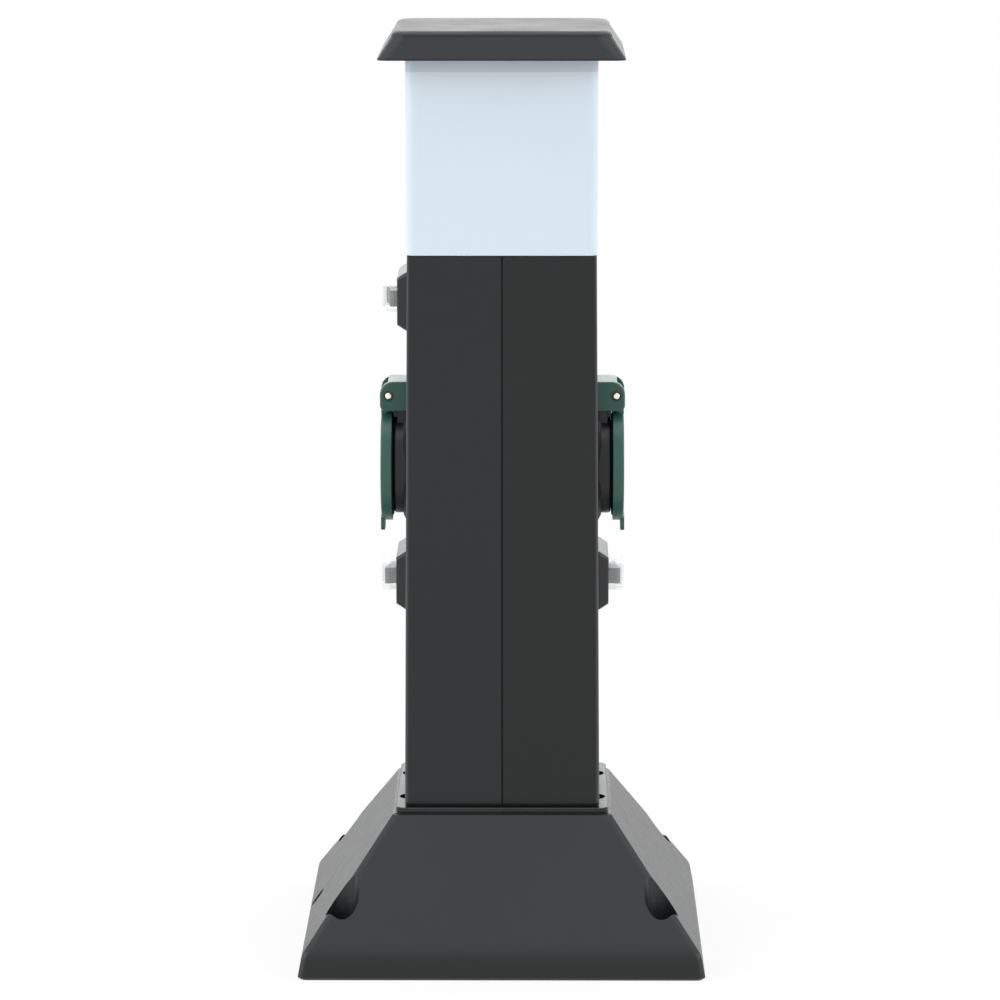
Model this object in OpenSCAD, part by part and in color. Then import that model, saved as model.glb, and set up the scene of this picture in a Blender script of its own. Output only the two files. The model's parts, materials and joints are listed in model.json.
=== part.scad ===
// Garden socket pillar: a square post on a pyramid foot, with a lamp on top,
// two earthed sockets under sprung lids and three rocker switches.
// Millimetres, +Z up, origin at the centre of the foot on the ground.

/* [Foot] */
// Side of the square foot
foot_w = 186.4; // [160:0.2:230]
// Height of the upright skirt round the foot
skirt_h = 11.4; // [8:0.2:24]
// How far each side of the skirt leans in
skirt_lean = 1.9; // [0:0.1:4]
// Height of the flat top that carries the column
foot_h = 67.7; // [55:0.1:90]
// Width of the ledge of the foot round the flange
foot_ledge = 1.4; // [0:0.1:4]
// Wall of the foot moulding
foot_wall = 3; // [2.4:0.1:4]
// Radius of the ridges of the foot
foot_r = 3; // [1:0.5:6]
// Spacing of the ground screws, both ways
ground_pitch = 146.5; // [130:0.5:160]
// Diameter of the wells for the ground screws
well_d = 15.5; // [13:0.5:18]
// Height of the well floors above the ground
well_z = 20; // [12:0.5:26]
// Diameter of the holes for the ground screws
ground_hole_d = 7; // [4:0.5:9]

/* [Column] */
// How far the flange at the bottom of the column stands out of it
flange_out = 4.2; // [2:0.1:10]
// Thickness of that flange
flange_t = 2.3; // [2:0.1:6]
// Shadow gap between the foot and the flange
shadow_gap = 0.8; // [0.3:0.1:1.5]
// Side of the column just above its flange
column_w = 90.2; // [86:0.2:94]
// How much narrower each side of the column is at its top
column_taper = 3.5; // [0:0.1:4]
// Height of the column above its flange
column_h = 255.8; // [240:0.2:320]
// Wall of the column
column_wall = 2.6; // [2.2:0.1:3.2]
// Radius of the upright edges of the column
column_r = 1.5; // [0.5:0.1:4]
// Diameter of the screw alcoves at the bottom of the column
alcove_d = 12; // [9:0.2:12.4]
// Height of the screw alcoves above the flange
alcove_h = 34; // [20:1:50]

/* [Lamp] */
// How much wider the lamp shade is than the top of the column
shade_over = 0.5; // [-2:0.1:3]
// Height of the shade
shade_h = 93.6; // [85:0.2:140]
// Wall of the shade
shade_wall = 2; // [1.5:0.1:3]
// Radius of the upright edges of the shade
shade_r = 4; // [2:0.5:8]
// Diameter of the bulb
bulb_d = 54; // [40:1:64]
// Height of the glass of the bulb above its holder
bulb_h = 74; // [50:1:80]
// Outer diameter of the bulb holder
holder_d = 38; // [32:0.5:40]
// Length of the holder below its collar
holder_h = 46; // [38:1:56]

/* [Cap] */
// How far the cap stands out of the shade
cap_out = 12.55; // [8:0.05:24]
// Height of the cap
cap_h = 12.8; // [11:0.2:20]
// How far each side of the cap leans in
cap_lean = 6; // [3:0.1:10]
// Radius between the sides and the top of the cap
cap_edge_r = 3.6; // [2:0.1:5]
// Wall of the cap
cap_wall = 2.4; // [2:0.1:3]

/* [Sockets] */
// Height of the middle of the sockets above the flange
socket_up = 153.8; // [146:0.2:166]
// Side of the square socket flange
socket_w = 46.8; // [46:0.2:52]
// Thickness of the socket flange
socket_flange_t = 1.8; // [1.5:0.1:3]
// Spacing of the flange screws, both ways
socket_pitch = 37; // [36.6:0.1:38]
// Diameter of the round collar of the socket
collar_d = 46.4; // [44.6:0.1:46.6]
// How far the collar stands out of the flange
collar_h = 4.6; // [3:0.1:5.4]
// Diameter of the recess that takes the plug
recess_d = 39.5; // [39:0.1:40]
// Depth of that recess
recess_depth = 17.5; // [16:0.1:18]
// Diameter of the two pin holes
pin_hole_d = 5.2; // [5:0.1:5.6]
// Spacing of the pin holes
pin_pitch = 19; // [18.8:0.1:19.2]
// Thickness of the gasket behind the flange
gasket_t = 0.8; // [0.6:0.1:1.2]

/* [Lids and hinges] */
// Diameter of the round lid
lid_d = 52.8; // [50.4:0.2:54]
// Depth of the lid
lid_depth = 5; // [4.6:0.1:7]
// Wall of the lid
lid_wall = 1.8; // [1.4:0.1:2.2]
// Height of the hinge pin above the middle of the socket
hinge_up = 33.6; // [32:0.2:35]
// Diameter of the hinge pin
hinge_pin_d = 3; // [2:0.1:3.2]
// Diameter of the lid knuckles
knuckle_d = 7.2; // [6.4:0.1:7.2]
// Width of the hinge block
hinge_w = 26; // [24:0.2:30]
// Thickness of each ear of the hinge block
ear_t = 4; // [3:0.1:5]
// Diameter of the spring wire
wire_d = 0.7; // [0.5:0.05:0.8]
// Full turns of the lid spring
spring_turns = 5; // [3:1:6]
// Width of the finger tab on the lid
tab_w = 16; // [8:1:24]
// How far the finger tab hangs below the lid
tab_drop = 4.3; // [2:0.1:6]

/* [Switches] */
// Height of the lower switches above the flange
switch_low_up = 101.9; // [90:0.1:110]
// Height of the upper switch above the flange
switch_high_up = 232.6; // [226:0.1:234]
// Width of the bezel at the wall
bezel_w = 46; // [40:0.5:52]
// Height of the bezel at the wall
bezel_h = 27.4; // [25:0.2:32]
// How far the bezel stands out
bezel_t = 4.8; // [3.2:0.1:5.4]
// Width of the clear cover
cover_w = 23.6; // [22.4:0.1:25]
// Height of the clear cover
cover_h = 12.7; // [11.6:0.1:14]
// How far the clear cover stands out of the bezel
cover_t = 7.4; // [7:0.1:11]
// Wall of the clear cover
cover_wall = 0.8; // [0.5:0.1:1]
// Length of the rocker
rocker_w = 19; // [15:0.1:19.4]
// Height of the rocker
rocker_h = 7.4; // [6:0.1:8.4]
// Tilt of the rocker each way from its middle
rocker_tilt = 6.8; // [4:0.1:8]

/* [Cable entry] */
// Height of the middle of the cable entry
entry_z = 15.5; // [12:0.1:20]
// Diameter of the hole in the foot
entry_d = 8.6; // [7:0.1:10]
// Outer diameter of the rubber grommet behind it
grommet_d = 12; // [11:0.1:14]
// Bore of the rubber grommet
grommet_bore = 8; // [6:0.1:8.4]

/* [Hidden] */
$fn = 64;
eps = 0.01;
corner_steps = 6;
// Clearances: screw in its pilot, sliding fit, loose fit, pin in its ears, knuckle on its pin
screw_gap = 0.05;
slide_gap = 0.1;
loose_gap = 0.3;
ear_gap = 0.02;
knuckle_gap = 0.05;

// Colours
charcoal = [0.20, 0.21, 0.21];
soft_black = [0.10, 0.10, 0.11];
rubber_black = [0.07, 0.07, 0.07];
moss_green = [0.15, 0.42, 0.33];
opal_white = [0.85, 0.91, 0.95];
clear_grey = [0.85, 0.88, 0.90, 0.4];
zinc = [0.72, 0.72, 0.70];
brass_yellow = [0.78, 0.66, 0.36];
cream_white = [0.88, 0.87, 0.82];
glass_white = [0.95, 0.95, 0.93];
rocker_grey = [0.22, 0.22, 0.23];

// Widths of the stacked pieces
flange_w = column_w + 2 * flange_out;
foot_top_w = flange_w + 2 * foot_ledge;
shade_w = column_w - column_taper + shade_over;
cap_w = shade_w + 2 * cap_out;

// Heights of the stacked pieces
flange_z = foot_h + shadow_gap;
column_z = flange_z + flange_t;
column_top = column_z + column_h;
plate_rim_t = 0.6;
shade_z = column_top + plate_rim_t;
shade_top = shade_z + shade_h;
cap_lap = 4.1;
cap_z = shade_top - cap_lap;
cap_top = cap_z + cap_h;
seal_t = 1;
socket_z = column_z + socket_up;
hinge_z = socket_z + hinge_up;
switch_low_z = column_z + switch_low_up;
switch_high_z = column_z + switch_high_up;

// Half width of the column, and of its inside, at a height
function column_half(z) = column_w / 2 - column_taper / 2 * (z - column_z) / column_h;
function column_inside(z) = column_half(z) - column_wall;
lean = atan(column_taper / 2 / column_h);

// Half width of the outside of the foot at a height on its slope
slope = (foot_w / 2 - skirt_lean - foot_top_w / 2) / (foot_h - skirt_h);
function foot_half(z) = foot_top_w / 2 + (foot_h - z) * slope;

// Planes of the socket, counted from the middle of the column
socket_seat = column_half(socket_z) - gasket_t;
flange_x = socket_seat + gasket_t;
collar_x = flange_x + socket_flange_t;
socket_face = collar_x + collar_h;
recess_floor = socket_face - recess_depth;
socket_back = recess_floor - 19.6;
body_r = recess_d / 2 + 1.8;
seal_press = 0.3;
lid_back = socket_face + 1;
lid_face = lid_back + lid_depth;

// Hinge
pin_x = lid_face - knuckle_d / 2;
hinge_seat = column_half(hinge_z) + 0.15;
ear_x = lid_face + 0.5;
ear_low = hinge_z - 7.4;
ear_top = hinge_z + 6.6;
ear_top_r = 6;
ear_low_r = 3;
roof_t = 2.6;
lip_t = 1.6;
roof_x = pin_x + 0.5;
rim_r = 0.9;
back_x = pin_x - knuckle_d / 2 - 0.8;
arm_w = hinge_w - 2 * ear_t - 2 * loose_gap;
arm_t = 2.2;
spring_gap_w = 8.6;
coil_r = hinge_pin_d / 2 + 1.1;
coil_y = 3.3;
leg_drop = 7.4;

// Bosses and screws
thread_d = 3.5;
pilot_d = thread_d + 2 * screw_gap;
boss_d = 8;
head_d = 6.4;
head_t = 2.2;
small_d = 2.5;
small_pilot_d = small_d + 2 * screw_gap;
seam_screw_y = column_w / 2 - column_wall - boss_d / 2 - 2.1;
seam_screw_low = switch_low_z - 44.7;
seam_screw_high = switch_high_z - 27.4;
seam_screw_len = 22;
seam_well_end = 10;
seam_boss_end = column_inside(seam_screw_low) + 0.5;
foot_screw_x = flange_w / 2 - 7.2;
foot_screw_y = 25;
foot_screw_len = 17;
screw_seat = column_z - 1.8;
upstand_t = 2;
plate_screw_at = shade_w / 2 - shade_wall - loose_gap - upstand_t - head_d / 2 - 3.1;
plate_post_h = 19;
plate_post_top = column_top - 3;
flange_screw_len = 10;
flange_boss_x = socket_seat - flange_screw_len + 1;
hinge_screw_y = hinge_w / 2 - ear_t - 1.3;
// Where the cuts through the side walls start
cut_x = column_w / 3;

// Switch depths, counted outwards from the seat on the wall
pocket_t = 2.4;
rim_t = 1.2;
pivot_s = 0.5;
trunnion_d = 2.6;
trunnion_len = 1.4;
body_depth = 17;
spade_len = 5.5;
body_w = cover_w + 3;
body_h = cover_h + 2.3;
function switch_seat(z) = column_half(z - bezel_h / 2) + 0.1;

function unit(v) = v / norm(v);

// Outline of a rounded rectangle, counter-clockwise
function outline(hx, hy, r) = [for (q = [0:3], i = [0:corner_steps])
    let (a = 90 * q + 90 * i / corner_steps,
         sx = q == 0 || q == 3 ? 1 : -1,
         sy = q < 2 ? 1 : -1)
    [sx * (hx - r) + r * cos(a), sy * (hy - r) + r * sin(a)]];

// Solid skinned over levels, each [half x, half y, corner radius, height]
module loft(levels) {
    n = 4 * (corner_steps + 1);
    m = len(levels);
    points = [for (l = levels, p = outline(l[0], l[1], l[2])) [p[0], p[1], l[3]]];
    low = [[for (i = [0:n - 1]) i]];
    high = [[for (i = [n - 1:-1:0]) (m - 1) * n + i]];
    sides = [for (k = [0:m - 2], i = [0:n - 1])
        let (j = (i + 1) % n)
        [k * n + i, (k + 1) * n + i, (k + 1) * n + j, k * n + j]];
    polyhedron(points = points, faces = concat(low, high, sides));
}

// Straight square prism with rounded edges
module post(w, r, z0, z1) {
    loft([[w / 2, w / 2, r, z0], [w / 2, w / 2, r, z1]]);
}

// Children are drawn for the right side; the left side is its mirror image
module on_side(side) {
    if (side < 0) mirror([1, 0, 0]) children();
    else children();
}

// Round rod along X
module rod_x(d, x0, x1) {
    translate([x0, 0, 0]) rotate([0, 90, 0]) cylinder(d = d, h = x1 - x0);
}

// Round rod along Y, centred on y = 0
module rod_y(d, len) {
    rotate([90, 0, 0]) cylinder(d = d, h = len, center = true);
}

// Block from corner to corner
module block(low, high) {
    translate(low) cube(high - low);
}

// Turned shape about the X axis; points are [radius, x]
module turned_x(points) {
    rotate([0, 90, 0]) rotate_extrude() polygon(points);
}

// Rounded rectangle standing on a wall; levels are [half y, half z, corner radius, x]
module loft_x(levels) {
    rotate([0, 90, 0]) loft([for (l = levels) [l[1], l[0], l[2], l[3]]]);
}

// Pan head screw along -Z with its head on z = 0
module screw(len, d = thread_d, hd = head_d, ht = head_t) {
    difference() {
        union() {
            intersection() {
                cylinder(d = hd, h = ht);
                translate([0, 0, ht - hd]) sphere(r = hd);
            }
            translate([0, 0, -len]) cylinder(d1 = 0.8, d2 = d, h = d);
            translate([0, 0, d - len]) cylinder(d = d, h = len - d + eps);
        }
        for (turn = [0, 90]) rotate(turn)
            translate([-hd * 0.3, -0.45, ht * 0.4]) cube([hd * 0.6, 0.9, ht]);
    }
}

// Four copies at the corners of a rectangle
module at_corners(x, y) {
    for (sx = [-1, 1], sy = [-1, 1]) translate([sx * x, sy * y, 0]) children();
}

// Foot: a pyramid shell, open below
module foot_outer() {
    lip = 1.2;
    low = [foot_w / 2, lip];
    knee = [foot_w / 2 - skirt_lean, skirt_h];
    top = [foot_top_w / 2, foot_h];
    ease = 1.8;
    from = knee + ease * unit(low - knee);
    to = knee + ease * unit(top - knee);
    round_knee = [for (t = [0:0.2:1]) (1 - t) * (1 - t) * from + 2 * t * (1 - t) * knee + t * t * to];
    loft([for (p = concat([[foot_w / 2 - lip, 0], low], round_knee, [top])) [p[0], p[0], foot_r, p[1]]]);
}

module foot_inner() {
    side = foot_w / 2 - foot_wall;
    knee = side - skirt_lean;
    top = foot_half(foot_h - foot_wall) - foot_wall * sqrt(1 + slope * slope);
    loft([[side, side, 1, -1],
          [knee, knee, 1, skirt_h - 1],
          [top, top, 1, foot_h - foot_wall]]);
}

module foot() {
    at = ground_pitch / 2;
    well_wall = 2.4;
    sleeve_d = grommet_d + 5;
    rib_at = 52;
    color(charcoal) difference() {
        union() {
            difference() {
                foot_outer();
                foot_inner();
            }
            intersection() {
                foot_outer();
                union() {
                    at_corners(at, at) {
                        translate([0, 0, well_z - foot_wall])
                            cylinder(d = well_d + 2 * well_wall, h = foot_h);
                        cylinder(d = ground_hole_d + 2 * well_wall, h = well_z);
                    }
                    at_corners(foot_screw_x, foot_screw_y)
                        translate([0, 0, foot_h - foot_screw_len - 1])
                        cylinder(d = boss_d + 1, h = foot_screw_len);
                    for (turn = [0:90:270], at_y = [-1, 1]) rotate(turn)
                        block([rib_at, at_y * 34 - 1.2, 4], [foot_w / 2, at_y * 34 + 1.2, foot_h]);
                    block([-foot_w / 2, -sleeve_d / 2, 0], [clamp_x + 8, sleeve_d / 2, 6]);
                    translate([0, 0, entry_z]) rod_x(sleeve_d, -foot_w / 2, sleeve_x);
                    block([clamp_x - 1.5, -clamp_y, 0], [clamp_x + 1.5, clamp_y, 6]);
                    for (side = [-1, 1]) translate([clamp_x, side * clamp_y, 0])
                        cylinder(d = boss_d, h = clamp_z);
                }
            }
        }
        at_corners(at, at) {
            translate([0, 0, well_z]) cylinder(d = well_d, h = foot_h);
            translate([0, 0, -1]) cylinder(d = ground_hole_d, h = foot_h);
        }
        at_corners(foot_screw_x, foot_screw_y)
            translate([0, 0, foot_h - foot_screw_len]) cylinder(d = pilot_d, h = foot_screw_len + 1);
        post(column_opening, 4, foot_h - 3 * foot_wall, foot_h + 1);
        translate([0, 0, entry_z]) {
            rod_x(entry_d, -foot_w, sleeve_x + 1);
            rod_x(grommet_d, pocket_x, sleeve_x + 1);
        }
        for (side = [-1, 1]) translate([clamp_x, side * clamp_y, 2])
            cylinder(d = pilot_d, h = clamp_z);
    }
}

// Inner end of the sleeve round the cable entry, where the flange of the grommet clears the slope
sleeve_x = foot_wall * sqrt(1 + slope * slope) - foot_half(entry_z + grommet_d / 2 + 2.1);
// Outer end of the grommet
pocket_x = 2 - foot_half(entry_z + grommet_d / 2);

// Way from the foot up into the column
column_opening = 2 * (foot_screw_x - boss_d / 2 - 1.2);

// Cable clamp inside the foot
clamp_x = sleeve_x + 20.8;
clamp_y = grommet_bore / 2 + 9;
clamp_z = entry_z - grommet_bore / 2 - 0.5;

// Column: two shells that meet at x = 0
module column_solid(inset, z0, z1) {
    r = max(column_r - inset, 0.4);
    loft([[column_half(z0) - inset, column_half(z0) - inset, r, z0],
          [column_half(z1) - inset, column_half(z1) - inset, r, z1]]);
}

module column_flange() {
    post(flange_w - 1.2, 3, foot_h, flange_z);
    loft([[flange_w / 2 - 0.3, flange_w / 2 - 0.3, 3.7, flange_z],
          [flange_w / 2, flange_w / 2, 4, flange_z + 0.4],
          [flange_w / 2, flange_w / 2, 4, column_z - 0.5],
          [flange_w / 2 - 0.5, flange_w / 2 - 0.5, 3.5, column_z]]);
}

// Groove along the seam, at the middle of the near and far walls
module seam_groove() {
    groove = 0.7;
    for (side = [-1, 1]) translate([0, side * column_half(flange_z), flange_z])
        rotate([side * lean, 0, 0]) rotate(45) translate([-groove / 2, -groove / 2, -foot_h])
        cube([groove, groove, column_top]);
}

// Lip of the left shell that laps into the right one
module seam_lip(gap) {
    reach = 2 - gap;
    difference() {
        intersection() {
            column_solid(column_wall / 2 + gap, column_z + 1 + gap, column_top - 6 - gap);
            block([-3, -column_w, 0], [reach, column_w, column_top]);
        }
        column_solid(column_wall - gap, foot_h - 1, column_top + 1);
    }
}

module alcove_shape(d, top) {
    cylinder(d = d, h = top);
    translate([0, 0, top]) sphere(d = d);
}

// Cut-outs of one shell, drawn for the right side
module wall_cuts(switch_heights) {
    block([socket_seat, -socket_w / 2 - loose_gap, socket_z - socket_w / 2 - loose_gap],
          [flange_w, socket_w / 2 + loose_gap, socket_z + socket_w / 2 + loose_gap]);
    translate([0, 0, socket_z]) rod_x(2 * body_r + 0.6, cut_x, flange_w);
    translate([0, 0, socket_z]) for (sy = [-1, 1], sz = [-1, 1])
        translate([0, sy * socket_pitch / 2, sz * socket_pitch / 2]) rod_x(small_pilot_d, flange_boss_x, flange_w);
    for (z = switch_heights)
        block([cut_x, -body_w / 2 - 0.2, z - body_h / 2 - 0.2],
              [flange_w, body_w / 2 + 0.2, z + body_h / 2 + 0.2]);
    for (side = [-1, 1]) translate([0, side * hinge_screw_y, hinge_z]) rod_x(small_d + 0.7, cut_x, flange_w);
}

module wall_pads(switch_heights) {
    block([socket_seat - column_wall + 0.4, -socket_w / 2 - 2, socket_z - socket_w / 2 - 2],
          [socket_seat, socket_w / 2 + 2, socket_z + socket_w / 2 + 2]);
    for (z = switch_heights)
        block([column_inside(z) + 1, -bezel_w / 2 - 0.4, z - bezel_h / 2 - 0.4],
              [switch_seat(z), bezel_w / 2 + 0.4, z + bezel_h / 2 + 0.4]);
    block([column_inside(hinge_z) + 1, -hinge_w / 2 - 0.4, ear_low - 0.4],
          [hinge_seat, hinge_w / 2 + 0.4, ear_top + 0.4]);
}

module socket_screw_bosses() {
    translate([0, 0, socket_z]) for (sy = [-1, 1], sz = [-1, 1])
        translate([0, sy * socket_pitch / 2, sz * socket_pitch / 2])
        rod_x(boss_d - 1.4, flange_boss_x, socket_seat - 1);
}

// Corner posts under the lamp plate
module plate_posts() {
    reach = column_inside(column_top) - plate_screw_at + 1;
    for (sy = [-1, 1])
        translate([plate_screw_at, sy * plate_screw_at, plate_post_top - plate_post_h]) {
            cylinder(d = boss_d, h = plate_post_h);
            translate([0, sy > 0 ? 0 : -6, 0]) cube([reach, 6, plate_post_h]);
        }
}

// One shell without its seam details
module shell_half(switch_heights) {
    difference() {
        union() {
            difference() {
                union() {
                    column_solid(0, flange_z, column_top);
                    column_flange();
                }
                column_solid(column_wall, foot_h - 1, column_top + 1);
            }
            intersection() {
                column_solid(0, flange_z, column_top);
                for (side = [-1, 1]) translate([foot_screw_x, side * foot_screw_y, foot_h])
                    alcove_shape(alcove_d + 4.4, alcove_h);
            }
            wall_pads(switch_heights);
            socket_screw_bosses();
            plate_posts();
        }
        for (side = [-1, 1]) translate([foot_screw_x, side * foot_screw_y, screw_seat])
            alcove_shape(alcove_d, alcove_h);
        for (side = [-1, 1]) translate([foot_screw_x, side * foot_screw_y, 0])
            cylinder(d = thread_d + 0.7, h = column_z);
        for (sy = [-1, 1]) translate([plate_screw_at, sy * plate_screw_at, plate_post_top - plate_post_h + 4])
            cylinder(d = pilot_d, h = plate_post_h);
        wall_cuts(switch_heights);
        seam_groove();
        difference() {
            post(column_w + 2, 1, column_z, column_z + 0.9);
            column_solid(0.5, flange_z, column_top);
        }
        block([-flange_w, -flange_w, 0], [0, flange_w, column_top + 1]);
    }
}

// Places of the seam screws, all driven from the right
module at_seam_screws() {
    for (y = [-1, 1], z = [seam_screw_low, seam_screw_high])
        translate([0, y * seam_screw_y, z]) children();
}

module column_left() {
    color(charcoal) difference() {
        union() {
            on_side(-1) shell_half([switch_low_z, switch_high_z]);
            seam_lip(slide_gap);
            at_seam_screws() rod_x(boss_d, -seam_boss_end, 0);
        }
        at_seam_screws() rod_x(pilot_d, -14, 1);
    }
}

module column_right() {
    color(charcoal) difference() {
        union() {
            shell_half([switch_low_z]);
            at_seam_screws() rod_x(boss_d + 2.4, 0, seam_boss_end);
            at_block_pegs() rod_x(block_peg_d, block_x - 3.6, block_x + 1);
        }
        seam_lip(0);
        at_seam_screws() {
            rod_x(head_d + 1, seam_well_end, flange_w);
            rod_x(thread_d + 0.3, -1, flange_w);
        }
    }
}

module column_screws() {
    color(zinc) at_seam_screws() translate([seam_well_end, 0, 0]) rotate([0, 90, 0])
        screw(seam_screw_len);
}

module foot_screws() {
    color(zinc) at_corners(foot_screw_x, foot_screw_y)
        translate([0, 0, screw_seat]) screw(foot_screw_len + 1);
}

// Lamp: plate, shade, cap, holder and bulb
module lamp_plate() {
    deck = shade_z + deck_t;
    drop = column_inside(column_top) - loose_gap;
    upstand = shade_w / 2 - shade_wall - loose_gap;
    color(soft_black) difference() {
        union() {
            post(2 * drop, 1.4, column_top - 3, column_top + eps);
            post(shade_w - 2, 3, column_top, shade_z);
            difference() {
                post(2 * upstand, shade_r - 2, shade_z - eps, shade_z + 6);
                post(2 * (upstand - upstand_t), 1.5, deck, shade_z + 7);
            }
        }
        translate([0, 0, column_top - 4]) cylinder(d = holder_d + 0.4, h = 12);
        at_corners(plate_screw_at, plate_screw_at) translate([0, 0, column_top - 4])
            cylinder(d = thread_d + 0.5, h = 12);
    }
}

module plate_screws() {
    color(zinc) at_corners(plate_screw_at, plate_screw_at)
        translate([0, 0, shade_z + deck_t]) screw(14);
}

module lamp_shade() {
    low = shade_w / 2;
    high = low + 0.3;
    color(opal_white) difference() {
        loft([[low, low, shade_r, shade_z], [high, high, shade_r, shade_top]]);
        loft([[low - shade_wall, low - shade_wall, shade_r - shade_wall, shade_z - 1],
              [high - shade_wall, high - shade_wall, shade_r - shade_wall, shade_top + 1]]);
    }
}

// Levels of the outside of the cap, drawn in by an inset
function cap_levels(inset, z0) =
    let (low = cap_w / 2 - inset,
         shoulder = low - cap_lean,
         z1 = cap_top - inset,
         drop = cap_edge_r * 0.7)
    concat([[low, low, 5 - inset / 2, z0], [low, low, 5 - inset / 2, cap_z + 0.8]],
        [for (a = [0:15:90]) let (h = shoulder - cap_edge_r * (1 - cos(a)))
            [h, h, 7 - inset / 2, z1 - drop * (1 - sin(a))]]);

module cap() {
    roof = shade_top + seal_t;
    hold = shade_w / 2 + 0.3;
    inner = hold - shade_wall - loose_gap;
    color(charcoal) difference() {
        union() {
            difference() {
                loft(cap_levels(0, cap_z));
                loft(cap_levels(cap_wall, cap_z - 1));
            }
            intersection() {
                loft(cap_levels(0, cap_z));
                post(2 * hold + 5, shade_r + 2, cap_z + 1, cap_top);
            }
            post(2 * inner, shade_r - shade_wall, cap_z - 5.8, roof + 1);
        }
        difference() {
            post(2 * hold + 0.6, shade_r + 0.3, cap_z - 1, roof);
            post(2 * inner, shade_r - shade_wall, cap_z - 2, roof + 1);
        }
        post(2 * inner - 4, 1.5, cap_z - 7, roof + 1.4);
    }
}

module cap_seal() {
    hold = shade_w / 2 + 0.3;
    color(rubber_black) difference() {
        post(2 * hold, shade_r, shade_top, shade_top + seal_t);
        post(2 * hold - 2 * shade_wall, shade_r - shade_wall, shade_top - 1, shade_top + seal_t + 1);
    }
}

deck_t = 1.4;
holder_collar = 2.4;
holder_floor = 12;
holder_bore = 27.6;
contact_d = 9.6;
contact_tip = 4;
holder_top = shade_z + deck_t + holder_collar;
holder_low = shade_z + deck_t - holder_h;

module lamp_holder() {
    r = holder_d / 2;
    rim = r + 3;
    eye = contact_d / 2 + 0.2;
    color(cream_white) rotate_extrude() polygon([
        [eye, holder_low], [r - 4, holder_low], [r, holder_low + 2 * holder_floor / 3],
        [r, shade_z + deck_t], [rim, shade_z + deck_t], [rim, holder_top - 0.6],
        [rim - 0.6, holder_top], [holder_bore / 2, holder_top],
        [holder_bore / 2, holder_low + holder_floor], [eye, holder_low + holder_floor]]);
}

module lamp_contact() {
    color(brass_yellow) translate([0, 0, holder_low]) {
        translate([0, 0, holder_floor / 3]) cylinder(d = contact_d, h = 2 * holder_floor / 3);
        translate([0, 0, holder_floor]) cylinder(d1 = contact_d, d2 = contact_d / 2 + 0.2, h = contact_tip);
    }
}

bulb_neck = holder_bore / 2 - 1.2;
bulb_gap = 3;

// Screw base of the bulb, with rounded thread crests
module bulb_base() {
    low = holder_low + holder_floor + contact_tip;
    crests = 5;
    pitch = 3.6;
    color(zinc) rotate_extrude() polygon(concat(
        [[0, low], [contact_d / 2 - 0.8, low], [bulb_neck - 1.6, low + 4]],
        [for (i = [0:crests * 8]) [bulb_neck + 0.3 + 0.4 * sin(45 * i), low + 5 + pitch * i / 8]],
        [[bulb_neck, holder_top + bulb_gap], [0, holder_top + bulb_gap]]));
}

// Pear outline as an arc on a neck
module bulb_glass() {
    r = bulb_d / 2;
    low = holder_top + bulb_gap;
    mid = low + bulb_h - r;
    color(glass_white) rotate_extrude() polygon(concat(
        [[0, low], [bulb_neck, low]],
        [for (i = [1:6]) let (t = i / 7, s = (1 - cos(180 * t)) / 2)
            [bulb_neck + (r * cos(30) - bulb_neck) * s, low + (mid - r * sin(30) - low) * t]],
        [for (a = [-30:10:80]) [r * cos(a), mid + r * sin(a)]],
        [[0, mid + r]]));
}

// Socket insert, drawn for the right side
module socket_body(side) {
    clip_w = 7;
    bevel = 2.3;
    shoulder_w = 20;
    color(soft_black) on_side(side) translate([0, 0, socket_z]) difference() {
        union() {
            difference() {
                union() {
                    loft_x([[socket_w / 2, socket_w / 2, 3.5, flange_x],
                            [socket_w / 2, socket_w / 2, 3.5, flange_x + 0.5],
                            [socket_w / 2 - bevel, socket_w / 2 - bevel, 3, collar_x]]);
                    block([flange_x + 0.3, -shoulder_w / 2, socket_w / 2 - 6],
                          [socket_face - 1.6, shoulder_w / 2, ear_low - socket_z - 0.2]);
                }
                rod_x(recess_d + 1.8, flange_x - 1, socket_face);
            }
            turned_x([[0, socket_back], [14, socket_back], [16, socket_back + 2], [16, recess_floor - 5],
                [body_r, recess_floor - 3], [body_r, flange_x + 0.5], [collar_d / 2 - 0.2, flange_x + 0.5],
                [collar_d / 2 - 0.2, socket_face - 0.8], [collar_d / 2 - 1, socket_face],
                [recess_d / 2 + 0.6, socket_face], [recess_d / 2, socket_face - 0.6],
                [recess_d / 2, recess_floor], [0, recess_floor]]);
            for (sy = [-1, 1])
                block([recess_floor - 1, sy * recess_d / 2 - 1.6, -2.6],
                      [socket_face - 2.5, sy * recess_d / 2 + 1.6, 2.6]);
        }
        for (sy = [-1, 1]) translate([0, sy * pin_pitch / 2, 0]) {
            rod_x(pin_hole_d, recess_floor - 3, recess_floor + 1);
            rod_x(sleeve_d + 0.2, socket_back + 1.5, recess_floor - 1.6);
            rod_x(3, socket_back - 1, socket_back + 3);
        }
        for (sz = [-1, 1])
            block([recess_floor - 2, -clip_w / 2, sz * (recess_d / 2 + 0.2) - 1.3],
                  [recess_floor + 11, clip_w / 2, sz * (recess_d / 2 + 0.2) + 1.3]);
        for (sy = [-1, 1], sz = [-1, 1])
            translate([0, sy * socket_pitch / 2, sz * socket_pitch / 2]) {
                rod_x(thread_d - 0.2, flange_x - 1, collar_x + 1);
                translate([collar_x - 0.9, 0, 0]) rotate([0, 90, 0]) cylinder(d1 = 3.3, d2 = 5.6, h = 1.15);
            }
    }
}

sleeve_d = 7;

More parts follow.
